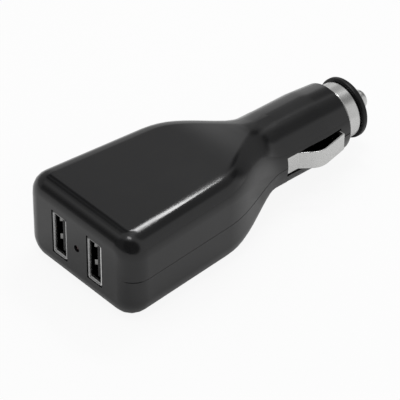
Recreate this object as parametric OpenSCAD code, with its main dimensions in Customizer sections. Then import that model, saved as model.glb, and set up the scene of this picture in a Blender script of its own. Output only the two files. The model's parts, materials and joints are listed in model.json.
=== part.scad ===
// Twin-port charger plug for a car's accessory socket.
// Modelled from the port face (x = 0) along the plug's axis to the centre pin,
// then set down so that the origin is under the middle, on the surface it lies on.

/* [Body] */
// Width of the body at the port face
face_w = 46.2; // [44:0.2:50]
// Width of the body where the shoulders begin
shoulder_w = 39.8; // [38:0.2:42]
// Height of the body
body_h = 27.4; // [26.4:0.1:30]
// Distance from the port face to the start of the shoulders
shoulder_x = 38; // [36:0.2:44]
// Length of the shoulders, down to the barrel
shoulder_len = 31.6; // [30:0.1:36]
// Distance from the port face to where the top starts to fall towards the barrel
crown_x = 42.7; // [40:0.1:50]
// Radius of the upright front corners
corner_r = 6.5; // [5.4:0.1:7]
// Radius of the front edges at the top and the bottom
brow_r = 5; // [3.6:0.1:5.2]
// Radius of the long edges
edge_r = 6.6; // [5.4:0.1:7.4]
// Wall of the shells
wall = 1.8; // [1.4:0.1:2]
// Depth of the groove along the parting line
seam_groove = 0.15; // [0.05:0.05:0.2]

/* [Barrel] */
// Diameter of the barrel at its end
barrel_d = 20.8; // [20.2:0.1:21.2]
// Diameter of the barrel where it leaves the shoulders
root_d = 22.2; // [21.4:0.1:22.4]
// Length of the barrel
barrel_len = 23.6; // [23:0.1:26]
// Length over which the barrel narrows towards its end
lead_len = 10.5; // [6:0.5:14]
// Thickness of the barrel's end wall
end_wall = 3; // [2.6:0.1:3.4]
// Chamfer round the barrel's end
barrel_chamfer = 1.1; // [0.4:0.1:1.4]

/* [Side contact] */
// Length of the leaf that shows in the barrel's window
leaf_len = 20.2; // [19:0.1:21]
// Width of the leaf
leaf_w = 5.6; // [4.6:0.1:6]
// Thickness of the leaf
leaf_t = 0.5; // [0.3:0.05:0.6]
// How far the leaf's crown stands out of the barrel
leaf_crown = 3.6; // [3:0.1:3.8]
// Distance from the crown to the leaf's outer leg
leaf_crown_x = 9.3; // [8.8:0.1:9.8]
// Radius of the bend at the crown
leaf_crown_r = 6; // [5:0.5:7]
// Slope of the leaf behind the crown, in degrees
leaf_rise = 38; // [34:1:42]
// Slope of the leaf from the crown to its outer leg, in degrees
leaf_fall = 12; // [8:1:14]
// Space between the leaf's legs and the ends of its window
leaf_end_gap = 0.4; // [0.2:0.05:0.6]
// Space between the leaf's edges and the sides of its window
leaf_side_gap = 0.4; // [0.3:0.05:0.8]
// How far the leaf's feet reach behind the barrel wall
leaf_foot = 1; // [0.7:0.1:1.2]
// How far the leaf is pressed in by a socket
leaf_travel = 3.2; // [2.6:0.1:3.4]

/* [Nose] */
// Diameter of the bright ring
ring_d = 17; // [16.4:0.1:18]
// Length of ring that shows
ring_len = 5; // [4.6:0.1:6]
// Wall of the ring's neck, where the barrel's end grips it
ring_neck_wall = 1.6; // [1.4:0.1:1.7]
// Thickness of the ring's inner flange
ring_flange_t = 0.9; // [0.6:0.05:1]
// Diameter of the end cap
cap_d = 18.6; // [17.8:0.1:19.4]
// Thickness of the end cap's head
cap_t = 2.1; // [1.9:0.1:3]
// Height of the end cap's collar round the pin
collar_len = 2.9; // [1:0.1:3]
// Wall of the collar
collar_wall = 1.5; // [1.2:0.1:2]
// Diameter of the end cap's spigot, which screws into the ring
spigot_d = 11.3; // [11:0.1:11.5]
// Diameter of the centre pin
pin_d = 6; // [5:0.1:6.4]
// Length of pin that stands out of the cap
pin_out = 6.3; // [6:0.1:7]
// Diameter of the pin's inner flange
pin_flange_d = 8.4; // [8:0.1:8.6]
// Thickness of the pin's inner flange
pin_flange_t = 1.5; // [1:0.1:2]
// How far the pin is pushed in by a socket
pin_travel = 3; // [2:0.1:3.2]

/* [Fuse and spring] */
// Diameter of the fuse
fuse_d = 6.3; // [6:0.05:6.4]
// Length of the fuse
fuse_len = 30; // [29.6:0.1:30.2]
// Length of each of the fuse's metal ends
fuse_end_len = 6; // [5:0.1:7]
// Outer diameter of the spring
spring_d = 6; // [5.4:0.1:6.2]
// Diameter of the spring's wire
spring_wire = 0.7; // [0.5:0.05:0.7]
// Turns of the spring
spring_turns = 4; // [3.5:0.5:4]
// Space left along the spring when the pin is all the way in
spring_spare = 0.4; // [0.2:0.1:0.6]

/* [Ports] */
// Distance between the middles of the two ports
port_pitch = 14.8; // [14.2:0.1:16]
// Height of the opening in the shells for a port
port_slot_h = 14.5; // [14.2:0.1:15]
// Width of the opening in the shells for a port
port_slot_w = 6.3; // [6.2:0.1:6.8]
// Long side of a port's metal shell
port_h = 13.1; // [13:0.1:13.4]
// Short side of a port's metal shell
port_w = 5.7; // [5.6:0.1:5.9]
// Length of a port's metal shell
port_len = 14; // [12:0.5:16]
// Sheet thickness of a port's metal shell
port_sheet = 0.35; // [0.25:0.05:0.4]
// How far a port's mouth lies behind the face
port_recess = 0.4; // [0.2:0.1:1]
// Thickness of the tongue inside a port
tongue_t = 1.8; // [1.6:0.1:1.9]
// Space between the tongue and the near side of a port
tongue_gap = 0.6; // [0.5:0.05:0.8]

/* [Circuit board] */
// Thickness of the board
board_t = 1.6; // [1:0.1:1.8]
// Space between the board's edge and the shells
board_gap = 0.5; // [0.3:0.1:1]
// Distance from the port face to the far end of the board
board_end = 58.5; // [55:0.5:59]
// Diameter of the board's posts
post_d = 4.4; // [4:0.1:5]
// Diameter of the pegs through the board
peg_d = 2; // [1.6:0.1:2.4]
// Diameter of the indicator light
lamp_d = 2; // [1.8:0.1:2.4]

/* [Hidden] */
$fn = 64;

// Clearances: a running fit, a slip fit, and the play of loosely fitted parts
run_gap = 0.05;
slip_gap = 0.1;
loose_gap = 0.3;
// Smallest flat left beside a rounded edge
least_flat = 0.03;

// Stations along the axis, from the port face
neck_x = shoulder_x + shoulder_len;
barrel_end = neck_x + barrel_len;
cap_x = barrel_end + ring_len;
cap_end = cap_x + cap_t;
total_len = cap_end + pin_out;

barrel_r = barrel_d / 2;
root_r = root_d / 2;
bore_r = barrel_r - wall;
board_top = -port_h / 2;
port_y = port_pitch / 2;

// Leaf: feet behind the barrel wall, legs through the window, a flat end, a slope and the crown
leaf_x1 = barrel_end - end_wall - run_gap - ring_flange_t - loose_gap - leaf_foot;
leaf_x0 = leaf_x1 - leaf_len;
leaf_base_y = barrel_r - slip_gap;
crown_cx = leaf_x1 - leaf_crown_x;
crown_cy = barrel_r + leaf_crown - leaf_crown_r;
leaf_tab_x = crown_cx - leaf_crown_r * sin(leaf_rise)
    - (crown_cy + leaf_crown_r * cos(leaf_rise) - leaf_base_y) / tan(leaf_rise);
leaf_foot_y = sqrt(pow(bore_r, 2) - pow(leaf_w / 2, 2)) - run_gap;
window_h = leaf_w + 2 * leaf_side_gap;

// Nose
ring_bore_r = spigot_d / 2 + run_gap;
ring_neck_r = ring_bore_r + ring_neck_wall;
ring_flange_r = (ring_neck_r + bore_r) / 2 + run_gap;
spigot_x = barrel_end - end_wall;
pin_flange_x = cap_x - pin_flange_t - run_gap;
fuse_x1 = pin_flange_x;
fuse_x0 = fuse_x1 - fuse_len;
cradle_r = fuse_d / 2 + loose_gap;

// Contacts on the board
sheet_t = 0.5;
spring_len = (spring_turns + 1) * spring_wire + pin_travel + spring_spare;
spring_x0 = fuse_x0 - spring_len;
ground_x1 = leaf_x0 - leaf_foot - run_gap;

// Board posts, as distances from the face and from the middle line
posts = [[11.5, 15.6], [41.5, 12]];

// Colours
black = [0.07, 0.07, 0.075];
nickel = [0.78, 0.78, 0.77];
tin = [0.7, 0.71, 0.72];
brass = [0.8, 0.66, 0.34];
board_green = [0.1, 0.36, 0.2];
can_blue = [0.14, 0.16, 0.3];

// Body sections: the shoulders aim inside the barrel's skin, so that they meet it in a crease
function clamped(t) = max(0, min(1, t));
function smooth(t) = t * t * (3 - 2 * t);
function fall(r, x) = x < r ? r - sqrt(max(0, r * r - pow(r - x, 2))) : 0;
function along_shoulder(x) = clamped((x - shoulder_x) / shoulder_len);
function side_slope() = (shoulder_w - face_w) / 2 / shoulder_x;
function plan_w(x) =
    x < shoulder_x
    ? face_w / 2 + side_slope() * x
    : let (k = along_shoulder(x))
      max(
          root_r,
          shoulder_w / 2 + (barrel_r - shoulder_w / 2) * smooth(k)
          + side_slope() * shoulder_len * k * pow(1 - k, 2)
      );
function side_h(x) =
    max(root_r, body_h / 2 + (barrel_r - body_h / 2) * smooth(clamped((x - crown_x) / (neck_x - crown_x))));
function long_edge(x) = edge_r + (root_r - edge_r) * smooth(along_shoulder(x));
// Half width, half height and edge radius of the skin that lies t inside the outer one
function skin_w(x, t) = plan_w(x) - t - fall(corner_r - t, x - t);
function skin_h(x, t) = side_h(x) - t - fall(brow_r - t, x - t);
function skin_r(x, t) =
    min(
        max(0.6, long_edge(x) - t - fall(brow_r - t, x - t)),
        skin_h(x, t) - seam_groove - least_flat,
        skin_w(x, t) - least_flat
    );
// Half width of the room inside the shells at a height z below or above the axis
function room_w(x, z) =
    let (w = skin_w(x, wall), h = skin_h(x, wall), r = skin_r(x, wall), d = abs(z) - (h - r))
    d <= 0 ? w : w - r + sqrt(max(0, r * r - d * d));

edge_steps = 8;
front_steps = 6;
shoulder_steps = 14;
function stations(t) = concat(
    [for (i = [0 : front_steps]) t + (corner_r - t) * (1 - cos(90 * i / front_steps))],
    [for (i = [0 : shoulder_steps]) shoulder_x + shoulder_len * i / shoulder_steps]
);
function arch(x, t) =
    let (w = skin_w(x, t), h = skin_h(x, t), r = skin_r(x, t))
    concat(
        [[x, w - seam_groove, 0], [x, w, seam_groove]],
        [for (a = [0 : 90 / edge_steps : 90]) [x, w - r + r * cos(a), h - r + r * sin(a)]],
        [for (a = [90 : 90 / edge_steps : 180]) [x, r - w + r * cos(a), h - r + r * sin(a)]],
        [[x, -w, seam_groove], [x, seam_groove - w, 0]]
    );
// Two triangles on the corners a, b, c, d of a patch
function patch(a, b, c, d) = [[a, b, c], [a, c, d]];

// Upper half of the body's wall in one piece: outer arches, inner arches, and the rims that join them
module half_body() {
    outer = [for (x = stations(0)) arch(x, 0)];
    inner = [for (x = stations(wall)) arch(x, wall)];
    m = len(outer);
    n = len(outer[0]);
    o = function (i, j) i * n + j;
    q = function (i, j) (m + i) * n + j;
    polyhedron(
        points = [for (row = concat(outer, inner), p = row) p],
        faces = concat(
            [
                for (i = [0 : m - 2], j = [0 : n - 2])
                for (f = patch(o(i, j), o(i + 1, j), o(i + 1, j + 1), o(i, j + 1))) f
            ],
            [
                for (i = [0 : m - 2], j = [0 : n - 2])
                for (f = patch(q(i, j), q(i, j + 1), q(i + 1, j + 1), q(i + 1, j))) f
            ],
            [[for (j = [0 : n - 1]) o(0, j)], [for (j = [n - 1 : -1 : 0]) q(0, j)]],
            [for (j = [0 : n - 2], f = patch(o(m - 1, j), q(m - 1, j), q(m - 1, j + 1), o(m - 1, j + 1))) f],
            [for (i = [0 : m - 2], f = patch(o(i, 0), q(i, 0), q(i + 1, 0), o(i + 1, 0))) f],
            [for (i = [0 : m - 2], f = patch(o(i, n - 1), o(i + 1, n - 1), q(i + 1, n - 1), q(i, n - 1))) f],
            patch(o(0, 0), o(0, n - 1), q(0, n - 1), q(0, 0))
        )
    );
}
// Faces of a tube whose rings have n points each
function tube_faces(rings, n) = concat(
    [[for (j = [0 : n - 1]) j]],
    [[for (j = [n - 1 : -1 : 0]) (rings - 1) * n + j]],
    [
        for (i = [0 : rings - 2], j = [0 : n - 1])
        let (a = i * n, k = (j + 1) % n)
        for (f = patch(a + j, a + n + j, a + n + k, a + k)) f
    ]
);

// Sets a piece down on the surface that the plug lies on
module placed() {
    translate([-total_len / 2, 0, body_h / 2]) children();
}
// Turns a profile of radius and station about the plug's axis
module turned() {
    rotate([0, 90, 0]) rotate_extrude() children();
}
// Pushes a profile of y and z along the axis
module along(x0, x1) {
    translate([x0, 0, 0]) rotate([90, 0, 90]) linear_extrude(x1 - x0) children();
}
module block(low, high) {
    translate(low) cube(high - low);
}
module mirror_if(flip, axis) {
    if (flip) mirror(axis) children();
    else children();
}
module both_sides() {
    children();
    mirror([0, 1, 0]) children();
}

// Upper half of the casing; the lower one is its mirror image with posts in place of pillars
module half_casing() {
    difference() {
        half_body();
        both_sides() port_cutout();
        window_cutout();
        lamp_hole();
    }
    difference() {
        union() {
            half_barrel();
            fuse_ribs();
        }
        window_cutout();
    }
}
// The barrel narrows towards its end, and its wall runs a little way into the body's wall
root_len = 1;
root_inset = 0.4;
module half_barrel() {
    intersection() {
        difference() {
            turned() polygon([
                [bore_r, neck_x],
                [root_r - wall + root_inset, neck_x],
                [root_r - wall + root_inset, neck_x - root_len],
                [root_r - root_inset, neck_x - root_len],
                [root_r - root_inset, neck_x],
                [root_r, neck_x],
                [root_r, barrel_end - lead_len],
                [barrel_r, barrel_end - barrel_chamfer],
                [barrel_r - barrel_chamfer, barrel_end],
                [ring_neck_r + run_gap, barrel_end],
                [ring_neck_r + run_gap, barrel_end - end_wall],
                [bore_r, barrel_end - end_wall]
            ]);
            both_sides() barrel_groove();
        }
        block([neck_x - root_len, -root_r, 0], [barrel_end, root_r, root_r]);
    }
}
// Parting groove, which follows the barrel from its root to its chamfer
module barrel_groove() {
    lead_x = barrel_end - lead_len;
    slope = (root_r - barrel_r) / (lead_len - barrel_chamfer);
    translate([0, 0, -1]) linear_extrude(1 + seam_groove) polygon([
        [neck_x - root_len, root_r - seam_groove],
        [lead_x, root_r - seam_groove],
        [barrel_end + 1, root_r - seam_groove - slope * (lead_len + 1)],
        [barrel_end + 1, root_r + 1],
        [neck_x - root_len, root_r + 1]
    ]);
}
// Half-round cradles that hold the fuse on the axis, clear of the side contact
rib_t = 1.4;
rib_count = 3;
rib_x0 = leaf_x0 + 2;
rib_pitch = (leaf_len - 4 - rib_t) / (rib_count - 1);
leaf_room_y = leaf_foot_y - leaf_t - leaf_travel - loose_gap;
module fuse_ribs() {
    for (i = [0 : rib_count - 1]) {
        x = rib_x0 + rib_pitch * i;
        along(x, x + rib_t) difference() {
            circle(bore_r + wall / 2);
            circle(cradle_r);
            translate([-barrel_r, -barrel_r]) square([barrel_d, barrel_r]);
            translate([-leaf_room_y - barrel_r, -1]) square([barrel_r, window_h / 2 + 1]);
        }
    }
}
module port_cutout() {
    block([-1, port_y - port_slot_w / 2, -1], [wall + 1, port_y + port_slot_w / 2, port_slot_h / 2]);
}
module window_cutout() {
    block(
        [leaf_x0 - leaf_end_gap, -root_r - 1, -1],
        [leaf_x1 + leaf_end_gap, -bore_r * 0.7, window_h / 2]
    );
}
module lamp_hole() {
    translate([-1, 0, 0]) rotate([0, 90, 0]) cylinder(d = lamp_d + 2 * run_gap, h = wall + 2);
}
module at_posts() {
    for (p = posts, s = [-1, 1]) translate([p[0], s * p[1], 0]) children();
}
module upper_shell() {
    color(black) placed() union() {
        half_casing();
        at_posts() pillar();
    }
}
// A pillar holds the board down, and its peg runs through the board into the post below
module pillar() {
    translate([0, 0, board_top]) cylinder(d = post_d, h = body_h / 2 - wall / 2 - board_top);
    translate([0, 0, board_top - board_t - wall]) cylinder(d = peg_d, h = board_t + 2 * wall);
}
module lower_shell() {
    color(black) placed() difference() {
        union() {
            mirror([0, 0, 1]) half_casing();
            at_posts() post();
        }
        at_posts() peg_hole();
    }
}
module post() {
    floor_z = -body_h / 2 + wall / 2;
    translate([0, 0, floor_z]) cylinder(d = post_d, h = board_top - board_t - floor_z);
}
module peg_hole() {
    floor_z = -body_h / 2 + wall;
    translate([0, 0, floor_z]) cylinder(d = peg_d + 2 * slip_gap, h = board_top - floor_z);
}

// Board, cut to follow the shells
board_x0 = wall + board_gap;
board_rows = 12;
module circuit_board() {
    bottom = board_top - board_t;
    xs = [for (i = [0 : board_rows]) board_x0 + (board_end - board_x0) * i / board_rows];
    side = [for (x = xs) [x, room_w(x, bottom) - board_gap]];
    other = [for (i = [board_rows : -1 : 0]) [side[i][0], -side[i][1]]];
    color(board_green) placed() difference() {
        translate([0, 0, bottom]) linear_extrude(board_t) polygon(concat(side, other));
        at_posts() translate([0, 0, bottom - 1]) cylinder(d = peg_d + 2 * slip_gap, h = board_t + 2);
    }
}

// Ports: a folded metal shell with flared lips, an insulator with its tongue, and four contacts
port_back = port_recess + port_len;
tail_pitch = 0.9;
pad_t = 0.25;
pad_w = 1;
pad_zs = [-3.5, -1, 1, 3.5];
insulator_x = port_back - 4.5;
tongue_x = port_recess + 0.8;
tongue_h = port_h - 2 * port_sheet - 1.4;
tongue_y = -port_w / 2 + port_sheet + tongue_gap;
module at_port(side) {
    translate([0, side * port_y, 0]) children();
}
module port_shell(side) {
    color(tin) placed() at_port(side) {
        difference() {
            block([port_recess, -port_w / 2, -port_h / 2], [port_back, port_w / 2, port_h / 2]);
            block(
                [port_recess - 1, port_sheet - port_w / 2, port_sheet - port_h / 2],
                [port_back + 1, port_w / 2 - port_sheet, port_h / 2 - port_sheet]
            );
            latch_windows();
        }
        flared_lips();
    }
}
latch_l = 3;
latch_w = 1.8;
module latch_windows() {
    for (s = [-1, 1]) block(
        [port_recess + 4, -port_w, s * port_h / 4 - latch_w / 2],
        [port_recess + 4 + latch_l, port_w, s * port_h / 4 + latch_w / 2]
    );
}
lip_l = 1.2;
module flared_lips() {
    tall = (port_slot_h - port_h) / 2 - run_gap;
    wide = (port_slot_w - port_w) / 2 - run_gap;
    for (flip = [false, true]) mirror_if(flip, [0, 0, 1])
        translate([0, port_w / 2 - 1, 0]) rotate([90, 0, 0]) linear_extrude(port_w - 2)
            lip_profile(port_h / 2, tall);
    for (flip = [false, true]) mirror_if(flip, [0, 1, 0])
        translate([0, 0, 1.2 - port_h / 2]) linear_extrude(port_h - 2.4)
            lip_profile(port_w / 2, wide);
}
module lip_profile(at, rise) {
    polygon([
        [port_recess, at + rise],
        [port_recess + lip_l, at],
        [port_recess + lip_l, at - port_sheet],
        [port_recess, at - port_sheet / 2]
    ]);
}
module port_insulator(side) {
    inset = port_sheet + run_gap;
    color(black) placed() at_port(side) difference() {
        union() {
            block(
                [insulator_x, inset - port_w / 2, inset - port_h / 2],
                [port_back - 0.4, port_w / 2 - inset, port_h / 2 - inset]
            );
            block([tongue_x, tongue_y, -tongue_h / 2], [insulator_x, tongue_y + tongue_t, tongue_h / 2]);
        }
        for (z = pad_zs) block(
            [tongue_x + 0.6, tongue_y + tongue_t - pad_t, z - pad_w / 2],
            [port_back, tongue_y + tongue_t, z + pad_w / 2]
        );
    }
}
module port_contacts(side) {
    y1 = tongue_y + tongue_t;
    color(brass) placed() at_port(side) for (i = [0 : len(pad_zs) - 1]) {
        z = pad_zs[i];
        tail_x = port_back + 0.4 + tail_pitch * i;
        block([tongue_x + 0.6, y1 - pad_t, z - pad_w / 2], [port_back, y1, z + pad_w / 2]);
        block([port_back, y1 - pad_t, z - pad_t], [tail_x, y1, z + pad_t]);
        block([tail_x, y1 - pad_t, board_top], [tail_x + 2 * pad_t, y1, z + pad_t]);
    }
}

// Indicator light on two legs
lamp_tip_x = 0.3;
lamp_len = 5;
lamp_rim_t = 0.8;
lamp_leg_t = 0.5;
lamp_leg_y = 0.8;
lamp_back = lamp_tip_x + lamp_len + lamp_rim_t;
module indicator_lamp() {
    r = lamp_d / 2;
    color([0.55, 0.12, 0.1]) placed() turned() difference() {
        union() {
            translate([0, lamp_tip_x + r]) circle(r);
            translate([0, lamp_tip_x + r]) square([r, lamp_len - r]);
            translate([0, lamp_tip_x + lamp_len]) square([r + 0.3, lamp_rim_t]);
        }
        translate([-2 * r, 0]) square([2 * r, lamp_tip_x + lamp_len + 2]);
    }
}
module lamp_legs() {
    leg_x = lamp_back + 1.5;
    color(tin) placed() both_sides() {
        block(
            [lamp_back, lamp_leg_y - lamp_leg_t / 2, -lamp_leg_t / 2],
            [leg_x, lamp_leg_y + lamp_leg_t / 2, lamp_leg_t / 2]
        );
        block(
            [leg_x, lamp_leg_y - lamp_leg_t / 2, board_top],
            [leg_x + lamp_leg_t, lamp_leg_y + lamp_leg_t / 2, lamp_leg_t / 2]
        );
    }
}

// Parts on the board
module on_board(x, y) {
    placed() translate([x, y, board_top]) children();
}
chip_l = 5;
chip_w = 4;
chip_h = 1.7;
chip_lift = 0.2;
chip_x = 27;
chip_y = -7;
leg_pitch = 1.27;
module regulator_chip() {
    color(black) on_board(chip_x, chip_y) difference() {
        block([-chip_l / 2, -chip_w / 2, chip_lift], [chip_l / 2, chip_w / 2, chip_h]);
        translate([0.6 - chip_l / 2, 0.6 - chip_w / 2, chip_h - 0.1]) cylinder(r = 0.35, h = 1);
    }
}
module regulator_legs() {
    color(tin) on_board(chip_x, chip_y) for (i = [-1.5 : 1.5]) both_sides()
        translate([i * leg_pitch + 0.2, chip_w / 2, 0]) rotate([90, 0, -90]) linear_extrude(0.4) polygon([
            [0, 0.8], [0, 1.05], [-0.45, 1.05], [-0.7, 0.25], [-1.2, 0.25],
            [-1.2, 0], [-0.5, 0], [-0.25, 0.8]
        ]);
}
core_d = 11;
core_h = 6.5;
core_flange_t = 1.1;
core_waist_d = 5.4;
core_x = 31.5;
core_y = 6.4;
module inductor_core() {
    color([0.2, 0.2, 0.21]) on_board(core_x, core_y) rotate_extrude() polygon([
        [0, 0], [core_d / 2, 0], [core_d / 2, core_flange_t], [core_waist_d / 2, core_flange_t],
        [core_waist_d / 2, core_h - core_flange_t], [core_d / 2, core_h - core_flange_t],
        [core_d / 2, core_h], [0, core_h]
    ]);
}
// The winding's layers show as rounded turns on its outside
wind_rows = 6;
module inductor_winding() {
    pitch = (core_h - 2 * core_flange_t - 2 * run_gap) / wind_rows;
    r = core_d / 2 - 0.8;
    color([0.72, 0.4, 0.22]) on_board(core_x, core_y) rotate_extrude() union() {
        translate([core_waist_d / 2 + run_gap, core_flange_t + run_gap])
            square([r - core_waist_d / 2 - run_gap, pitch * wind_rows]);
        for (i = [0 : wind_rows - 1])
            translate([r, core_flange_t + run_gap + pitch * (i + 0.5)]) circle(d = pitch);
    }
}
can_bead = 0.35;
module capacitor(d, h) {
    rotate_extrude() polygon([
        [0, 0], [d / 2 - can_bead, 0], [d / 2, can_bead], [d / 2, 1.4], [d / 2 - can_bead, 1.8],
        [d / 2, 2.2], [d / 2, h - can_bead], [d / 2 - can_bead, h], [d / 2 - 0.9, h],
        [d / 2 - 0.9, h - 0.2], [0, h - 0.2]
    ]);
}
input_can_d = 8;
input_can_h = 12.5;
input_can_x = 45.5;
output_can_d = 6.3;
output_can_h = 11.2;
output_can_x = 23;
module input_capacitor() {
    color(can_blue) on_board(input_can_x, -1) capacitor(input_can_d, input_can_h);
}
module output_capacitor() {
    color(can_blue) on_board(output_can_x, 0.2) capacitor(output_can_d, output_can_h);
}
module diode() {
    color(black) on_board(36.5, -6.5) block([-2.2, -1.35, 0.1], [2.2, 1.35, 2.2]);
}
chip_size = [2, 1.25, 0.6];
module chip_row(places) {
    for (p = places) translate([p[0], p[1], board_top]) block([0, 0, 0], chip_size);
}
module chip_resistors() {
    color([0.12, 0.12, 0.13]) placed() chip_row([[20, -12], [23.5, -12], [27, -12], [20, 12.5]]);
}
module chip_capacitors() {
    color([0.66, 0.52, 0.36]) placed() chip_row([[31, -12], [20.5, -15], [22, 9.6]]);
}

// Brass strip that carries the spring, soldered to the board
module positive_contact() {
    leg = [-3.4, -0.9];
    x1 = spring_x0 - run_gap;
    color(brass) placed() {
        along(x1 - sheet_t, x1) union() {
            circle(d = spring_d + 0.8);
            translate([leg[0], board_top]) square([leg[1] - leg[0], -board_top]);
        }
        block([x1 - 4.5, leg[0], board_top], [x1 - sheet_t, leg[1], board_top + sheet_t]);
        translate([x1, 0, 0]) rotate([0, 90, 0]) cylinder(d = spring_d - 2 * spring_wire - 0.6, h = 1.2);
    }
}
// Coil with flat end turns, swept as rings round the wire
wire_sides = 8;
turn_steps = 20;
function coil_rise(n) =
    let (flat = 0.5, t = clamped((n - flat) / (spring_turns - 2 * flat)))
    (spring_len - spring_wire) * t;
function coil_ring(n) =
    let (a = 360 * n, r = (spring_d - spring_wire) / 2, x = spring_x0 + spring_wire / 2 + coil_rise(n))
    [
        for (j = [0 : wire_sides - 1])
        let (b = 360 * j / wire_sides, q = r + spring_wire / 2 * cos(b))
        [x + spring_wire / 2 * sin(b), q * cos(a), q * sin(a)]
    ];
module contact_spring() {
    count = spring_turns * turn_steps;
    color(nickel) placed() polyhedron(
        points = [for (i = [0 : count], p = coil_ring(i / turn_steps)) p],
        faces = tube_faces(count + 1, wire_sides)
    );
}

// Stamped plate round the fuse, whose arm touches the side contact's foot
ground_leg = [1.3, 3.7];
module ground_plate() {
    reach = leaf_foot_y;
    color(brass) placed() {
        along(ground_x1 - sheet_t, ground_x1) difference() {
            union() {
                circle(cradle_r + 2);
                translate([-reach, -leaf_w / 2 + 0.4]) square([reach, leaf_w - 0.8]);
                translate([ground_leg[0], board_top]) square([ground_leg[1] - ground_leg[0], -board_top]);
            }
            circle(cradle_r + 0.3);
        }
        block(
            [board_end - 6, ground_leg[0], board_top],
            [ground_x1 - sheet_t, ground_leg[1], board_top + sheet_t]
        );
    }
}

// Bent strip of the leaf from its outer foot to its rear foot and back, as heights over the axis
bend_steps = 6;
function crown_arc(r) = [
    for (i = [0 : bend_steps])
    let (a = -leaf_rise + (leaf_rise + leaf_fall) * i / bend_steps)
    [crown_cx + r * sin(a), crown_cy + r * cos(a)]
];
// Height of the leaf's front slope at x, measured r from the crown's centre
function front_y(x, r) =
    crown_cy + r * cos(leaf_fall) - (x - crown_cx - r * sin(leaf_fall)) * tan(leaf_fall);
module leaf_profile() {
    inner_r = leaf_crown_r - leaf_t;
    back_arc = crown_arc(inner_r);
    polygon(concat(
        [[leaf_x0, leaf_foot_y], [leaf_x0, leaf_base_y], [leaf_tab_x, leaf_base_y]],
        crown_arc(leaf_crown_r),
        [
            [leaf_x1, front_y(leaf_x1, leaf_crown_r)], [leaf_x1, leaf_foot_y],
            [leaf_x1 + leaf_foot, leaf_foot_y], [leaf_x1 + leaf_foot, leaf_foot_y - leaf_t],
            [leaf_x1 - leaf_t, leaf_foot_y - leaf_t], [leaf_x1 - leaf_t, front_y(leaf_x1 - leaf_t, inner_r)]
        ],
        [for (i = [bend_steps : -1 : 0]) back_arc[i]],
        [
            [leaf_tab_x + leaf_t * tan(leaf_rise / 2), leaf_base_y - leaf_t],
            [leaf_x0 + leaf_t, leaf_base_y - leaf_t], [leaf_x0 + leaf_t, leaf_foot_y - leaf_t],
            [leaf_x0 - leaf_foot, leaf_foot_y - leaf_t], [leaf_x0 - leaf_foot, leaf_foot_y]
        ]
    ));
}
module side_contact() {
    color(nickel) placed() mirror([0, 1, 0])
        translate([0, 0, -leaf_w / 2]) linear_extrude(leaf_w) leaf_profile();
}

// Ring, held by the barrel's end wall in the groove round its neck
ring_edge = 0.4;
module nose_ring() {
    wall_x = barrel_end - end_wall - run_gap;
    flange_x = wall_x - ring_flange_t;
    color(nickel) placed() turned() polygon([
        [ring_bore_r, flange_x], [ring_flange_r, flange_x], [ring_flange_r, wall_x],
        [ring_neck_r, wall_x], [ring_neck_r, barrel_end + run_gap],
        [ring_d / 2 - ring_edge, barrel_end + run_gap], [ring_d / 2, barrel_end + run_gap + ring_edge],
        [ring_d / 2, cap_x - run_gap - ring_edge], [ring_d / 2 - ring_edge, cap_x - run_gap],
        [ring_bore_r, cap_x - run_gap]
    ]);
}
// Cap that screws into the ring and guides the pin in its collar
cap_edge = 0.6;
collar_edge = 0.4;
module end_cap() {
    pin_bore = pin_d / 2 + run_gap;
    chamber = pin_flange_d / 2 + 2 * run_gap;
    color(black) placed() turned() polygon([
        [chamber, spigot_x], [spigot_d / 2, spigot_x], [spigot_d / 2, cap_x],
        [cap_d / 2 - cap_edge / 2, cap_x], [cap_d / 2, cap_x + cap_edge / 2],
        [cap_d / 2, cap_end - cap_edge], [cap_d / 2 - cap_edge, cap_end],
        [pin_bore + collar_wall, cap_end], [pin_bore + collar_wall - collar_edge, cap_end + collar_len],
        [pin_bore, cap_end + collar_len],
        [pin_bore, cap_x], [chamber, cap_x]
    ]);
}
pin_dome = 1.6;
module centre_pin() {
    r = pin_d / 2;
    color(nickel) placed() turned() difference() {
        union() {
            translate([0, pin_flange_x]) square([pin_flange_d / 2, pin_flange_t]);
            translate([0, pin_flange_x]) square([r, total_len - pin_dome - pin_flange_x]);
            translate([0, total_len - pin_dome]) square([r - pin_dome, pin_dome]);
            translate([r - pin_dome, total_len - pin_dome]) circle(pin_dome);
        }
        translate([-barrel_r, 0]) square([barrel_r, total_len + 1]);
    }
}

// Fuse: two metal ends on a glass tube with the wire through its middle
glass_wall = 0.8;
fuse_wire_d = 0.5;
fuse_cap_t = 0.3;
module fuse_ends() {
    color(nickel) placed() for (flip = [0, 1])
        translate([(fuse_x0 + fuse_x1) / 2, 0, 0]) mirror([flip, 0, 0]) turned() polygon([
            [0, fuse_len / 2 - fuse_cap_t], [fuse_d / 2 - fuse_cap_t, fuse_len / 2 - fuse_cap_t],
            [fuse_d / 2 - fuse_cap_t, fuse_len / 2 - fuse_end_len], [fuse_d / 2, fuse_len / 2 - fuse_end_len],
            [fuse_d / 2, fuse_len / 2], [0, fuse_len / 2]
        ]);
}
module fuse_glass() {
    r = fuse_d / 2 - fuse_cap_t;
    color([0.85, 0.9, 0.9, 0.4]) placed() turned() translate([r - glass_wall, fuse_x0 + fuse_cap_t])
        square([glass_wall, fuse_len - 2 * fuse_cap_t]);
}
module fuse_wire() {
    color(tin) placed() turned() translate([0, fuse_x0 + fuse_cap_t])
        square([fuse_wire_d / 2, fuse_len - 2 * fuse_cap_t]);
}

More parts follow.
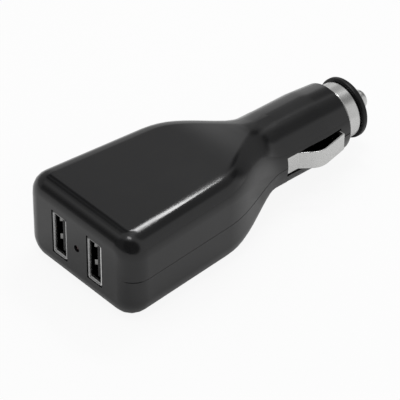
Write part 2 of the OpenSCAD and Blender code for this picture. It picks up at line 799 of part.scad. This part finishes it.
upper_shell();
lower_shell();
circuit_board();
port_shell(1);  // port_shell_left
port_shell(-1);  // port_shell_right
port_insulator(1);  // port_insulator_left
port_insulator(-1);  // port_insulator_right
port_contacts(1);  // port_contacts_left
port_contacts(-1);  // port_contacts_right
indicator_lamp();
lamp_legs();
regulator_chip();
regulator_legs();
inductor_core();
inductor_winding();
input_capacitor();
output_capacitor();
diode();
chip_resistors();
chip_capacitors();
positive_contact();
contact_spring();
ground_plate();
side_contact();
nose_ring();
end_cap();
centre_pin();
fuse_ends();
fuse_glass();
fuse_wire();
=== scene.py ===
"""Looks of a twin-port charger plug for a car: finishes, softened edges, small details, light and camera."""
import json
import math

import bmesh
import bpy
from mathutils import Matrix, Vector


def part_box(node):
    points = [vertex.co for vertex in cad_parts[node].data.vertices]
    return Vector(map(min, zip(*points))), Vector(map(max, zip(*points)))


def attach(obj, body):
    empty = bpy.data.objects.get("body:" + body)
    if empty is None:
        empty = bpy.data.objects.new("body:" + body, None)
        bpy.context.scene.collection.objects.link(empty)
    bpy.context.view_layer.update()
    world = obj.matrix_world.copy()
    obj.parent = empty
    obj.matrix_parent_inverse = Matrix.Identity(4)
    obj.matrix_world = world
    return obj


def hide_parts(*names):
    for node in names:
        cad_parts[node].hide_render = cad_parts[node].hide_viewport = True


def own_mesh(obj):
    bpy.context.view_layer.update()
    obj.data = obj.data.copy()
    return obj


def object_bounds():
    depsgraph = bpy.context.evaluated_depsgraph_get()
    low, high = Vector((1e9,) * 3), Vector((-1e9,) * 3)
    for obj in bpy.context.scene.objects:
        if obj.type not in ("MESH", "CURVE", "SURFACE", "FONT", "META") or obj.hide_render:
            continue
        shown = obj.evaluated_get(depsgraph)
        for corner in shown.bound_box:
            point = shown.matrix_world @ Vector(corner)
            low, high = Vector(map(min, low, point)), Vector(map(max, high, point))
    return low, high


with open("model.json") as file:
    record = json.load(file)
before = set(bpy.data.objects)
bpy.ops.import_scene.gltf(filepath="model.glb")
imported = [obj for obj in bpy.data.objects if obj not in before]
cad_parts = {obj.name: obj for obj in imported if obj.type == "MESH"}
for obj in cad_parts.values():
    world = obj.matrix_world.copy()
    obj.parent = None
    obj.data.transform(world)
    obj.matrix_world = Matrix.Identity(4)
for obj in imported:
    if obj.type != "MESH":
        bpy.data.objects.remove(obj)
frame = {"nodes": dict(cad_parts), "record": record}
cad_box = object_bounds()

MM = 0.001
BLACK, WHITE = (0, 0, 0, 1), (1, 1, 1, 1)
NODES = frame["nodes"]
BODY_OF = {node: body for body, nodes in frame["record"]["behaviour"]["bodies"].items() for node in nodes}
SLOT_OF = {part["node"]: part["material_slot"] for part in frame["record"]["subparts"]}
# The plug's axis lies this high over the surface it rests on
AXIS_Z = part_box("nose_ring")[0][2] / 2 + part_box("nose_ring")[1][2] / 2


# Finishes
# How much finer lumps break up a cloud
CLOUD_BREAK = 0.55


def per_metre(size_mm):
    """How many lumps of a size lie side by side on a metre."""
    return 1000.0 / size_mm


class Level:
    """One shader value; sums and products with it add Math nodes."""

    def __init__(self, finish, socket):
        self.finish = finish
        self.socket = socket

    def _math(self, operation, first, second):
        return self.finish.node("ShaderNodeMath", {"operation": operation}, {0: first, 1: second})

    def __add__(self, other):
        return self._math("ADD", self, other)

    def __radd__(self, other):
        return self._math("ADD", other, self)

    def __sub__(self, other):
        return self._math("SUBTRACT", self, other)

    def __rsub__(self, other):
        return self._math("SUBTRACT", other, self)

    def __mul__(self, other):
        return self._math("MULTIPLY", self, other)

    def over(self, edge, soft):
        """0 below edge, 1 above edge + soft, smooth between."""
        return self.finish.node(
            "ShaderNodeMapRange",
            {"interpolation_type": "SMOOTHSTEP"},
            {"Value": self, "From Min": edge, "From Max": edge + soft},
        )


class Graph:
    """A tree of shader nodes under construction."""

    def __init__(self, tree):
        self.tree = tree
        tree.nodes.clear()

    def node(self, kind, settings=None, sockets=None, out=0):
        """Adds a node: its settings first, then its sockets' values or links. Gives the named output."""
        made = self.tree.nodes.new(kind)
        for key, value in (settings or {}).items():
            setattr(made, key, value)
        for key, value in (sockets or {}).items():
            self.feed(made.inputs[key], value)
        return None if out is None else Level(self, made.outputs[out])

    def feed(self, socket, value):
        if isinstance(value, Level):
            self.tree.links.new(value.socket, socket)
        else:
            socket.default_value = value


class Finish(Graph):
    """A material: a Principled shader and the nodes that feed it."""

    def __init__(self, name, **fixed):
        self.material = bpy.data.materials.new(name)
        self.material.use_nodes = True
        super().__init__(self.material.node_tree)
        self.shader = self.tree.nodes.new("ShaderNodeBsdfPrincipled")
        self.end = self.tree.nodes.new("ShaderNodeOutputMaterial")
        self.tree.links.new(self.shader.outputs[0], self.end.inputs["Surface"])
        for socket, value in fixed.items():
            self.shader.inputs[socket.replace("_", " ")].default_value = value
        self.place = self.node("ShaderNodeTexCoord", out="Object")

    def set(self, **sockets):
        for key, value in sockets.items():
            self.feed(self.shader.inputs[key.replace("_", " ")], value)
        return self

    def stretched(self, x=1.0, y=1.0, z=1.0):
        """The place on the piece, with each axis drawn out or pressed together."""
        return self.node("ShaderNodeMapping", None, {"Vector": self.place, "Scale": (x, y, z)})

    def cloud(self, size_mm, detail=3.0, place=None):
        """Noise with lumps of about size_mm, from 0 to 1."""
        return self.node(
            "ShaderNodeTexNoise",
            None,
            {
                "Vector": place or self.place,
                "Scale": per_metre(size_mm),
                "Detail": detail,
                "Roughness": CLOUD_BREAK,
            },
            out="Fac",
        )

    def grains(self, size_mm):
        """Distance to the nearest of many scattered points, for pits and grains."""
        return self.node(
            "ShaderNodeTexVoronoi",
            {"feature": "F1"},
            {"Vector": self.place, "Scale": per_metre(size_mm)},
            out="Distance",
        )

    def tint(self, factor, low, high):
        """A colour between two others."""
        return self.node(
            "ShaderNodeMix",
            {"data_type": "RGBA"},
            {0: factor, 6: (*low, 1.0), 7: (*high, 1.0)},
            out=2,
        )

    def over_colour(self, factor, low, high):
        """As tint, where the low colour is itself a linked colour."""
        return self.node("ShaderNodeMix", {"data_type": "RGBA"}, {0: factor, 6: low, 7: (*high, 1.0)}, out=2)

    def relief(self, height, depth_mm):
        """Feeds the shader's normal from a height between 0 and 1 that stands for depth_mm."""
        sockets = {"Height": height, "Distance": depth_mm * MM, "Strength": 1.0}
        return self.set(Normal=self.node("ShaderNodeBump", None, sockets))


def moulded(name, dark, pale, rough, grain_mm=0.28, grain_depth=0.006, level=0.5):
    """Moulded plastic: spark-eroded grain, a slow cloud in the gloss, rubbed places and hair scratches."""
    finish = Finish(name, Specular_IOR_Level=level)
    grain = finish.cloud(grain_mm, 2.0)
    cloud = finish.cloud(11, 2.0)
    scratch = finish.cloud(0.9, 2.0, place=finish.stretched(0.05, 1.0, 1.3)).over(0.66, 0.05)
    rub = finish.cloud(5, 4.0).over(0.58, 0.2)
    finish.set(
        Base_Color=finish.tint(cloud * 0.6 + rub * 0.3, dark, pale),
        Roughness=rough + (cloud - 0.5) * 0.14 + scratch * 0.09 + grain * 0.05,
    )
    finish.relief(grain * 0.8 + finish.cloud(2.6, 1.0) * 0.5 - scratch * 0.25, grain_depth)
    return finish.material


def plated(name, dark, pale, rough):
    """Plated sheet or turned metal: fine draw lines, a cloud of handling marks and a few spots of tarnish."""
    finish = Finish(name, Metallic=1.0)
    lines = finish.cloud(0.22, 2.0, place=finish.stretched(0.06, 1.0, 1.0))
    cloud = finish.cloud(3.5, 3.0)
    spots = finish.cloud(1.2, 4.0).over(0.64, 0.1)
    finish.set(
        Base_Color=finish.tint(cloud * 0.5 + (1 - spots) * 0.5, dark, pale),
        Roughness=rough + (cloud - 0.5) * 0.12 + lines * 0.1 + spots * 0.12,
    )
    finish.relief(lines, 0.003)
    return finish.material


def port_tin_painted_light(side, near_lip_painted_highlight):
    """Tin plate of a port, with painted light: a painted highlight on the near lip, painted shade along the
    far edge and the top, and painted shade that makes it dark inside.
    """
    low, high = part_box("port_shell_" + side)
    # How far behind the mouth the painted dark inside begins, and the widths of the painted shade along the
    # top, the painted shade along the far edge and the painted highlight on the near lip
    lip_depth, top_lip, far_lip, near_lip = 0.3 * MM, 1.1 * MM, 0.42 * MM, 0.62 * MM
    soft_end, soft_edge = 0.5 * MM, 0.14 * MM
    finish = Finish("port_tin_painted_light_" + side, Metallic=1.0)
    cloud = finish.cloud(1.1, 3.0)
    lines = finish.cloud(0.18, 2.0, place=finish.stretched(1.0, 0.15, 1.0))
    x = finish.node("ShaderNodeSeparateXYZ", None, {"Vector": finish.place}, out="X")
    y, z = (Level(finish, x.socket.node.outputs[axis]) for axis in "YZ")
    # Painted shade: dark inside the mouth, and along the top and the far edge; the near lip gets a painted
    # highlight
    painted_dark_inside = x.over(low[0] + lip_depth, soft_end)
    top = z.over(high[2] - top_lip, soft_end)
    painted_shade_far_edge = y.over(high[1] - far_lip, soft_edge)
    painted_highlight_near_lip = 1 - y.over(low[1] + near_lip, soft_edge)
    light = (1 - painted_dark_inside) * (1 - top * 0.82) * (1 - painted_shade_far_edge * 0.9)
    bright = finish.tint(painted_highlight_near_lip * near_lip_painted_highlight + cloud * 0.3, (0.36, 0.36, 0.36), (1.0, 1.0, 0.99))
    finish.set(
        Base_Color=finish.over_colour(1 - light, bright, (0.004, 0.004, 0.004)),
        Roughness=0.22 + cloud * 0.12 + painted_dark_inside * 0.3,
    )
    finish.relief(lines * 0.6 + cloud * 0.4, 0.01)
    return finish.material


def laminate(name):
    """Glass-fibre board under green solder mask, with copper tracks that show through and a faint weave."""
    finish = Finish(name, Roughness=0.4)
    tracks = finish.node(
        "ShaderNodeTexBrick",
        {"offset": 0.5},
        {
            "Vector": finish.place,
            "Scale": 330.0,
            "Mortar Size": 0.035,
            "Mortar Smooth": 0.2,
            "Color1": BLACK,
            "Color2": BLACK,
            "Mortar": WHITE,
        },
        out="Fac",
    )
    weave = finish.node("ShaderNodeTexChecker", None, {"Vector": finish.place, "Scale": 1600.0}, out="Fac")
    base = finish.tint(finish.cloud(4), (0.012, 0.105, 0.035), (0.022, 0.16, 0.055))
    finish.set(Base_Color=finish.over_colour(tracks * 0.8, base, (0.05, 0.27, 0.1)))
    finish.relief(tracks * 0.8 + weave * 0.2, 0.02)
    return finish.material


def ceramic(name, dark, pale, rough, pit_mm=0.5, depth=0.02):
    """Sintered or epoxy bodies: pitted, matt, with a slight cloud."""
    finish = Finish(name)
    pits = finish.grains(pit_mm)
    cloud = finish.cloud(1.6, 4.0)
    finish.set(Base_Color=finish.tint(cloud, dark, pale), Roughness=rough + (cloud - 0.5) * 0.2)
    finish.relief(pits.over(0.05, 0.5), depth)
    return finish.material


def wound(name):
    """Enamelled copper wire: bands of turns round the core, some darker than others."""
    finish = Finish(name, Metallic=1.0)
    turns = finish.node(
        "ShaderNodeTexWave",
        {"wave_type": "BANDS", "bands_direction": "Z"},
        {"Vector": finish.place, "Scale": 800.0, "Distortion": 0.3},
        out="Fac",
    )
    cloud = finish.cloud(2)
    enamel = finish.tint(cloud * 0.6 + turns * 0.4, (0.3, 0.1, 0.035), (0.62, 0.27, 0.11))
    finish.set(Base_Color=enamel, Roughness=0.24 + cloud * 0.15)
    finish.relief(turns, 0.05)
    return finish.material


def sleeve(name):
    """Printed shrink sleeve of a capacitor: dark, glossy, with its pale stripe down one side."""
    finish = Finish(name, Coat_Roughness=0.1)
    cloud = finish.cloud(2.2)
    bands = finish.node(
        "ShaderNodeTexWave",
        {"wave_type": "BANDS", "bands_direction": "Y"},
        {"Vector": finish.place, "Scale": 42.0},
        out="Fac",
    )
    stripe = bands.over(0.93, 0.02)
    dark = finish.tint(cloud, (0.008, 0.012, 0.045), (0.016, 0.024, 0.075))
    finish.set(Base_Color=finish.over_colour(stripe, dark, (0.5, 0.52, 0.55)), Roughness=0.28 + cloud * 0.12)
    finish.relief(cloud, 0.03)
    return finish.material


def lens(name, dark, pale):
    """Tinted lens of the indicator, with a diffuse core."""
    finish = Finish(name, Transmission_Weight=0.25, IOR=1.5)
    cloud = finish.cloud(1.2)
    finish.set(Base_Color=finish.tint(cloud, dark, pale), Roughness=0.12 + cloud * 0.1)
    finish.relief(cloud, 0.01)
    return finish.material


def clear_glass(name):
    """Glass tube with faint drawing lines."""
    finish = Finish(name, Transmission_Weight=1.0, IOR=1.47)
    lines = finish.cloud(0.8, 2.0, place=finish.stretched(0.05, 1.0, 1.0))
    faint_tint = finish.tint(lines, (0.86, 0.9, 0.89), (0.95, 0.97, 0.96))
    finish.set(Base_Color=faint_tint, Roughness=0.03 + lines * 0.03)
    finish.relief(lines, 0.004)
    return finish.material


FINISHES = {
    "shell_plastic": moulded("black_casing", (0.0062, 0.0062, 0.0066), (0.0105, 0.0105, 0.011), 0.125),
    "cap_plastic": moulded(
        "black_end_cap",
        (0.003, 0.003, 0.0032),
        (0.006, 0.006, 0.0064),
        0.38,
        grain_mm=0.35,
        grain_depth=0.012,
        level=0.3,
    ),
    "nickel": plated("bright_nickel", (0.44, 0.44, 0.435), (0.71, 0.71, 0.7), 0.22),
    "tin_plate": plated("tin_plate", (0.52, 0.53, 0.54), (0.78, 0.79, 0.8), 0.28),
    "brass": plated("brass_strip", (0.52, 0.36, 0.14), (0.82, 0.62, 0.3), 0.25),
    "spring_steel": plated("spring_wire", (0.4, 0.4, 0.4), (0.66, 0.66, 0.66), 0.3),
    "board": laminate("solder_mask"),
    "insulator": moulded("black_insulator", (0.006, 0.006, 0.006), (0.013, 0.013, 0.013), 0.5, 0.3, 0.01),
    "lamp": lens("smoked_lens", (0.02, 0.006, 0.006), (0.045, 0.012, 0.012)),
    "chip": ceramic("black_epoxy", (0.012, 0.012, 0.013), (0.035, 0.035, 0.036), 0.5, 0.3),
    "ferrite": ceramic("ferrite", (0.045, 0.045, 0.05), (0.1, 0.1, 0.105), 0.62, 0.6, 0.04),
    "copper": wound("copper_winding"),
    "can": sleeve("capacitor_sleeve"),
    "resistor": ceramic("resistor_glaze", (0.02, 0.02, 0.022), (0.06, 0.06, 0.065), 0.3, 0.3, 0.01),
    "capacitor_chip": ceramic("tan_ceramic", (0.3, 0.19, 0.1), (0.46, 0.32, 0.2), 0.5, 0.4, 0.01),
    "glass": clear_glass("fuse_glass"),
}


# How much brighter each port's near lip is painted than its other lips: a painted highlight
NEAR_LIP_PAINTED_HIGHLIGHT = {"left": 0.1, "right": 0.9}
PORT_TIN_PAINTED_LIGHT = {side: port_tin_painted_light(side, lip_painted_highlight) for side, lip_painted_highlight in NEAR_LIP_PAINTED_HIGHLIGHT.items()}
# Tin of the keeper springs, painted darker than the other tin plate: painted shade inside the port
KEEPER_TIN_PAINTED_SHADE = plated("keeper_tin_painted_shade", (0.2, 0.2, 0.2), (0.42, 0.42, 0.41), 0.3)
OWN_FINISH = {"port_shell_" + side: finish for side, finish in PORT_TIN_PAINTED_LIGHT.items()}


# Pieces
def new_piece(name, bm, body, slot, finish=None):
    """Puts a finished mesh in the scene as a piece of the plug."""
    for face in bm.faces:
        face.smooth = True
    mesh = bpy.data.meshes.new(name)
    bm.to_mesh(mesh)
    bm.free()
    piece = bpy.data.objects.new(name, mesh)
    bpy.context.scene.collection.objects.link(piece)
    mesh.materials.append(finish or FINISHES[slot])
    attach(piece, body)
    return piece


def soften(piece, width_mm, segments, angle=35.0):
    """Rounds the piece's sharp edges and evens its shading."""
    if width_mm:
        bevel = piece.modifiers.new("rounded_edges", "BEVEL")
        bevel.width = width_mm * MM
        bevel.segments = segments
        bevel.limit_method = "ANGLE"
        bevel.angle_limit = math.radians(angle)
        bevel.use_clamp_overlap = True
        bevel.miter_outer = "MITER_ARC"
    even = piece.modifiers.new("even_shading", "WEIGHTED_NORMAL")
    even.keep_sharp = True
    return piece


# Angles in degrees: an edge is sharp above the first, and two faces are one flat below the second
SHARP, FLAT = 32.0, 0.3


def dressed(node, width_mm, segments):
    """A copy of a CAD node with its triangles merged, its flats whole and its sharp edges rounded."""
    bm = bmesh.new()
    bm.from_mesh(NODES[node].data)
    bmesh.ops.remove_doubles(bm, verts=bm.verts, dist=0.002 * MM)
    bmesh.ops.dissolve_limit(
        bm, angle_limit=math.radians(FLAT), verts=bm.verts, edges=bm.edges, use_dissolve_boundaries=False
    )
    for edge in bm.edges:
        edge.smooth = len(edge.link_faces) == 2 and edge.calc_face_angle(0.0) < math.radians(SHARP)
    piece = new_piece(node + "_dressed", bm, BODY_OF[node], SLOT_OF[node], OWN_FINISH.get(node))
    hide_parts(node)
    return soften(piece, width_mm, segments, SHARP)


# Width in mm of each piece's rounded edges, and the steps they are rounded in
ROUNDING = {
    "upper_shell": (0.14, 2),
    "lower_shell": (0.14, 2),
    "circuit_board": (0.05, 1),
    "port_shell_left": (0.05, 2),
    "port_shell_right": (0.05, 2),
    "port_insulator_left": (0.12, 2),
    "port_insulator_right": (0.12, 2),
    "port_contacts_left": (0.04, 2),
    "port_contacts_right": (0.04, 2),
    "indicator_lamp": (0.1, 2),
    "lamp_legs": (0.05, 1),
    "regulator_chip": (0.12, 2),
    "regulator_legs": (0.05, 1),
    "inductor_core": (0.2, 2),
    "inductor_winding": (0.2, 3),
    "input_capacitor": (0.4, 3),
    "output_capacitor": (0.4, 3),
    "diode": (0.12, 2),
    "chip_resistors": (0.06, 1),
    "chip_capacitors": (0.06, 1),
    "positive_contact": (0.06, 2),
    "contact_spring": (0.0, 1),
    "ground_plate": (0.06, 2),
    "side_contact": (0.12, 3),
    "nose_ring": (0.25, 3),
    "end_cap": (0.35, 3),
    "centre_pin": (0.2, 3),
    "fuse_ends": (0.15, 2),
    "fuse_glass": (0.05, 1),
    "fuse_wire": (0.0, 1),
}
DRESSED = {node: dressed(node, width_mm, segments) for node, (width_mm, segments) in ROUNDING.items()}


def press_with_pin(spring):
    """Reads the pin press's reach and the contact spring's length from its fixed end on the strip, and gives
    the spring its own mesh; the spring is not pressed together here.
    """
    press = next(joint for joint in frame["record"]["behaviour"]["joints"] if joint["name"] == "pin_press")
    fixed_x = press["deforming_nodes"][0]["fixed_end_x_m"]
    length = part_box("contact_spring")[1][0] - fixed_x
    1 - press["range_m"][1] / length
    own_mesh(spring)


press_with_pin(DRESSED["contact_spring"])

# Rolled lip of a port: how far each ring lies behind the mouth and inside its outline, in mm
LIP_RINGS = ((-0.1, 0.12), (-0.14, 0.28), (0.0, 0.46), (0.35, 0.62), (1.0, 0.68), (2.0, 0.7))
LIP_CORNER_MM = 0.9
# The lip on the near side is rolled this much wider
NEAR_LIP_SPREAD = 1.5
# Where the lip's first outline lies behind the mouth
LIP_START_MM = 0.1
# Thickness of the sheet that the lips and the keeper springs are made of
SHEET_MM = 0.2


def as_sheet(piece):
    """Gives the piece its sheet's thickness, half to each side."""
    sheet = piece.modifiers.new("sheet", "SOLIDIFY")
    sheet.thickness = SHEET_MM * MM
    sheet.offset = 0.0


def grow_ring(bm, edges, middle, ahead, scale_y, scale_z):
    """Extrudes a ring of edges along the axis and draws it in towards the middle."""
    grown = bmesh.ops.extrude_edge_only(bm, edges=edges)["geom"]
    verts = [part for part in grown if isinstance(part, bmesh.types.BMVert)]
    bmesh.ops.translate(bm, verts=verts, vec=(ahead, 0, 0))
    bmesh.ops.scale(bm, verts=verts, vec=(1, scale_y, scale_z), space=Matrix.Translation(-middle))
    return [part for part in grown if isinstance(part, bmesh.types.BMEdge)]


def port_lip(side):
    """Rolled lip round a port's mouth."""
    low, high = (Vector(corner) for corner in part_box("port_shell_" + side))
    middle = Vector((low.x, (low.y + high.y) / 2, (low.z + high.z) / 2))
    half_y, half_z = (high.y - low.y) / 2, (high.z - low.z) / 2
    bm = bmesh.new()
    bmesh.ops.create_grid(bm, x_segments=1, y_segments=1, size=1.0)
    bmesh.ops.rotate(bm, verts=bm.verts, matrix=Matrix.Rotation(math.radians(90), 3, "Y"))
    bmesh.ops.scale(bm, verts=bm.verts, vec=(1, half_y, half_z))
    bmesh.ops.translate(bm, verts=bm.verts, vec=middle + Vector((LIP_START_MM * MM, 0, 0)))
    bmesh.ops.bevel(
        bm,
        geom=list(bm.verts),
        offset=LIP_CORNER_MM * MM,
        offset_type="OFFSET",
        segments=5,
        profile=0.5,
        affect="VERTICES",
        material=-1,
    )
    bmesh.ops.delete(bm, geom=list(bm.faces), context="FACES_ONLY")
    ring = list(bm.edges)
    behind, inside = LIP_START_MM, 0.0
    for next_behind, next_inside in LIP_RINGS:
        scale_y = (half_y - next_inside * MM) / (half_y - inside * MM)
        scale_z = (half_z - next_inside * MM) / (half_z - inside * MM)
        ring = grow_ring(bm, ring, middle, (next_behind - behind) * MM, scale_y, scale_z)
        behind, inside = next_behind, next_inside
    for vert in bm.verts:
        inset = vert.co.y - low.y
        if inset < MM:
            vert.co.y = low.y + inset * NEAR_LIP_SPREAD
    bmesh.ops.recalc_face_normals(bm, faces=bm.faces)
    piece = new_piece("port_lip_" + side, bm, "casing", "tin_plate", PORT_TIN_PAINTED_LIGHT[side])
    as_sheet(piece)
    return soften(piece, 0.0, 1)


# Keeper springs of a port: their heights over its middle, length, width and bulge, all in mm
KEEPER_HEIGHTS = (3.5, -2.7)
KEEPER_LENGTH, KEEPER_WIDTH, KEEPER_BULGE = 2.4, 1.9, 0.95
# How far their middle lies behind the mouth, and in from the port's far side, in mm
KEEPER_DEPTH, KEEPER_INSET = 2.8, 0.62


def keeper_spring(side, name, height_mm):
    """Spring finger that bulges from the far wall of a port, just inside its mouth, to grip a plug."""
    low, high = (Vector(corner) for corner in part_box("port_shell_" + side))
    mid_z = (low.z + high.z) / 2
    middle = Vector((low.x + KEEPER_DEPTH * MM, high.y - KEEPER_INSET * MM, mid_z + height_mm * MM))
    bm = bmesh.new()
    bmesh.ops.create_grid(bm, x_segments=14, y_segments=4, size=0.5)
    bmesh.ops.rotate(bm, verts=bm.verts, matrix=Matrix.Rotation(math.radians(90), 3, "X"))
    for vert in bm.verts:
        vert.co.y = -KEEPER_BULGE * MM * math.cos(vert.co.x * math.pi) ** 2
    bmesh.ops.scale(bm, verts=bm.verts, vec=(KEEPER_LENGTH * MM, 1, KEEPER_WIDTH * MM))
    bmesh.ops.translate(bm, verts=bm.verts, vec=middle)
    bmesh.ops.recalc_face_normals(bm, faces=bm.faces)
    piece = new_piece("keeper_spring_" + side + name, bm, "casing", "tin_plate", KEEPER_TIN_PAINTED_SHADE)
    as_sheet(piece)
    return soften(piece, 0.04, 2)


for port_side in ("left", "right"):
    port_lip(port_side)
    keeper_spring(port_side, "_upper", KEEPER_HEIGHTS[0])
    keeper_spring(port_side, "_lower", KEEPER_HEIGHTS[1])


# Camera
def photo_camera():
    """The camera of the photograph, from the fit of the plug's outline."""
    turn, rise, roll = math.radians(-41.261), math.radians(37.905), math.radians(0.209)
    distance, sensor_mm = 0.72846, 36.0
    focal_px, picture_px = 2703.7, 400
    # where the middle of the port face falls in the picture
    face_u, face_v = 76.556, 248.702
    right = Vector((math.cos(turn), math.sin(turn), 0))
    back = Vector((math.sin(turn) * math.cos(rise), -math.cos(turn) * math.cos(rise), math.sin(rise)))
    up = back.cross(right)
    right, up = right * math.cos(roll) + up * math.sin(roll), up * math.cos(roll) - right * math.sin(roll)
    across = (face_u - picture_px / 2) * distance / focal_px
    above = -(face_v - picture_px / 2) * distance / focal_px
    port_face = Vector((cad_box[0][0], 0, AXIS_Z))
    camera = bpy.data.objects.new("photo_camera", bpy.data.cameras.new("photo_camera"))
    bpy.context.scene.collection.objects.link(camera)
    place = port_face - right * across - up * above + back * distance
    camera.matrix_world = Matrix.Translation(place) @ Matrix((right, up, back)).transposed().to_4x4()
    camera.data.sensor_width = sensor_mm
    camera.data.lens = focal_px / picture_px * sensor_mm
    camera.data.clip_start = 0.05
    camera.data.clip_end = 20
    bpy.context.scene.camera = camera


# Light and floor
# Light that the white room throws on matt surfaces
ROOM_LIGHT = 0.62
# Grey cards that stand in the white room, out of view, and that gloss picks up:
# heading from the nose towards the far side, height and reach in degrees, and how much white it takes away
CARDS = {
    "over_the_top": (45, 45, 25, 0.55),
    "over_the_far_edge": (75, 50, 20, 0.4),
    "over_the_brow": (105, 65, 25, 0.4),
    "before_the_brow": (185, 20, 55, 0.85),
    "far_side": (100, 5, 55, 0.65),
    "beyond_the_nose": (10, 15, 35, 0.75),
    "over_the_shoulder": (-20, 50, 25, 0.45),
    "near_side": (-60, 35, 55, 0.3),
    "behind_the_lens": (-125, 30, 45, 0.9),
}
# Share of a card's reach over which its edge fades
CARD_SOFTNESS = 0.7
# The darkest that the room gets where cards overlap
ROOM_DARK = 0.05
# How far the floor is whitened for the camera, which leaves a trace of the shadow
FLOOR_WHITE = 0.9
# How far the floor reaches from the plug to each side, in metres
FLOOR_REACH = 4.0


def lamp(name, direction, distance, size, size_y, watts, aim):
    """A soft panel that looks at a place on the plug from a direction."""
    light = bpy.data.lights.new(name, "AREA")
    light.shape = "RECTANGLE"
    light.size = size
    light.size_y = size_y
    light.energy = watts
    lit = bpy.data.objects.new(name, light)
    bpy.context.scene.collection.objects.link(lit)
    way = Vector(direction).normalized()
    lit.location = Vector(aim) + way * distance
    lit.rotation_euler = (-way).to_track_quat("-Z", "Y").to_euler()
    return lit


def way_to(heading, height):
    """Unit vector from the plug to a place in the room, given by two angles in degrees."""
    turn, rise = math.radians(heading), math.radians(height)
    return Vector((math.cos(turn) * math.cos(rise), math.sin(turn) * math.cos(rise), math.sin(rise)))


def white_room():
    """White surroundings, with the grey cards in the gloss alone."""
    world = bpy.data.worlds.new("white_room")
    bpy.context.scene.world = world
    world.use_nodes = True
    room = Graph(world.node_tree)
    way = room.node("ShaderNodeTexCoord", out="Generated")
    gloss = room.node("ShaderNodeLightPath", out="Is Glossy Ray")
    rays = gloss.socket.node.outputs
    shade = 0.0
    for heading, height, reach, taken in CARDS.values():
        near = room.node(
            "ShaderNodeVectorMath",
            {"operation": "DOT_PRODUCT"},
            {0: way, 1: way_to(heading, height)},
            out="Value",
        )
        edge = math.cos(math.radians(reach))
        shade = near.over(edge, (1 - edge) * CARD_SOFTNESS) * taken + shade
    open_ray = room.node(
        "ShaderNodeMath",
        {"operation": "MAXIMUM"},
        {0: Level(room, rays["Is Camera Ray"]), 1: Level(room, rays["Is Transmission Ray"])},
    )
    mirrored = room.node("ShaderNodeMath", {"operation": "MAXIMUM"}, {0: 1 - shade, 1: ROOM_DARK})
    lit = gloss * mirrored + (1 - gloss) * ROOM_LIGHT
    strength = open_ray + (1 - open_ray) * lit
    white = room.node("ShaderNodeBackground", None, {"Color": WHITE, "Strength": strength})
    room.node("ShaderNodeOutputWorld", None, {"Surface": white}, out=None)


def pale_floor():
    """Sheet of pale paper, whitened for the camera."""
    sheet = bmesh.new()
    bmesh.ops.create_grid(sheet, x_segments=2, y_segments=2, size=FLOOR_REACH)
    mesh = bpy.data.meshes.new("floor")
    sheet.to_mesh(mesh)
    sheet.free()
    ground = bpy.data.objects.new("floor", mesh)
    bpy.context.scene.collection.objects.link(ground)
    paper = Finish("pale_paper", Specular_IOR_Level=0.0)
    fibre = paper.cloud(3, 3.0)
    pale = paper.tint(fibre, (0.84, 0.84, 0.84), (0.88, 0.88, 0.88))
    paper.set(Base_Color=pale, Roughness=0.8 + fibre * 0.1)
    white = paper.node("ShaderNodeEmission", None, {"Color": WHITE, "Strength": 1.0})
    ray = paper.node("ShaderNodeLightPath", out="Is Camera Ray")
    matt = Level(paper, paper.shader.outputs[0])
    both = paper.node("ShaderNodeMixShader", None, {0: ray * FLOOR_WHITE, 1: matt, 2: white})
    paper.feed(paper.end.inputs["Surface"], both)
    mesh.materials.append(paper.material)


def studio():
    """Room, floor and three panels: on the long edge, on the top corner and on the near side."""
    white_room()
    pale_floor()
    lamp(
        "edge_panel",
        (0.518, 0.24, 0.821),
        distance=0.25,
        size=0.105,
        size_y=0.0235,
        watts=0.148,
        aim=(-0.038, -0.017, 0.026),
    )
    lamp(
        "top_panel",
        (-0.15, -0.087, 0.985),
        distance=0.8,
        size=0.2,
        size_y=0.14,
        watts=0.6,
        aim=(-0.05, -0.02, 0.02),
    )
    near = lamp(
        "near_panel",
        (-0.4, -0.9, 0.5),
        distance=1.4,
        size=1.0,
        size_y=1.0,
        watts=1.7,
        aim=(0.0, 0.0, 0.012),
    )
    # gloss shows the dark behind the lens there, and not this panel
    near.visible_glossy = False


photo_camera()
studio()
bpy.context.scene.view_settings.view_transform = "Standard"
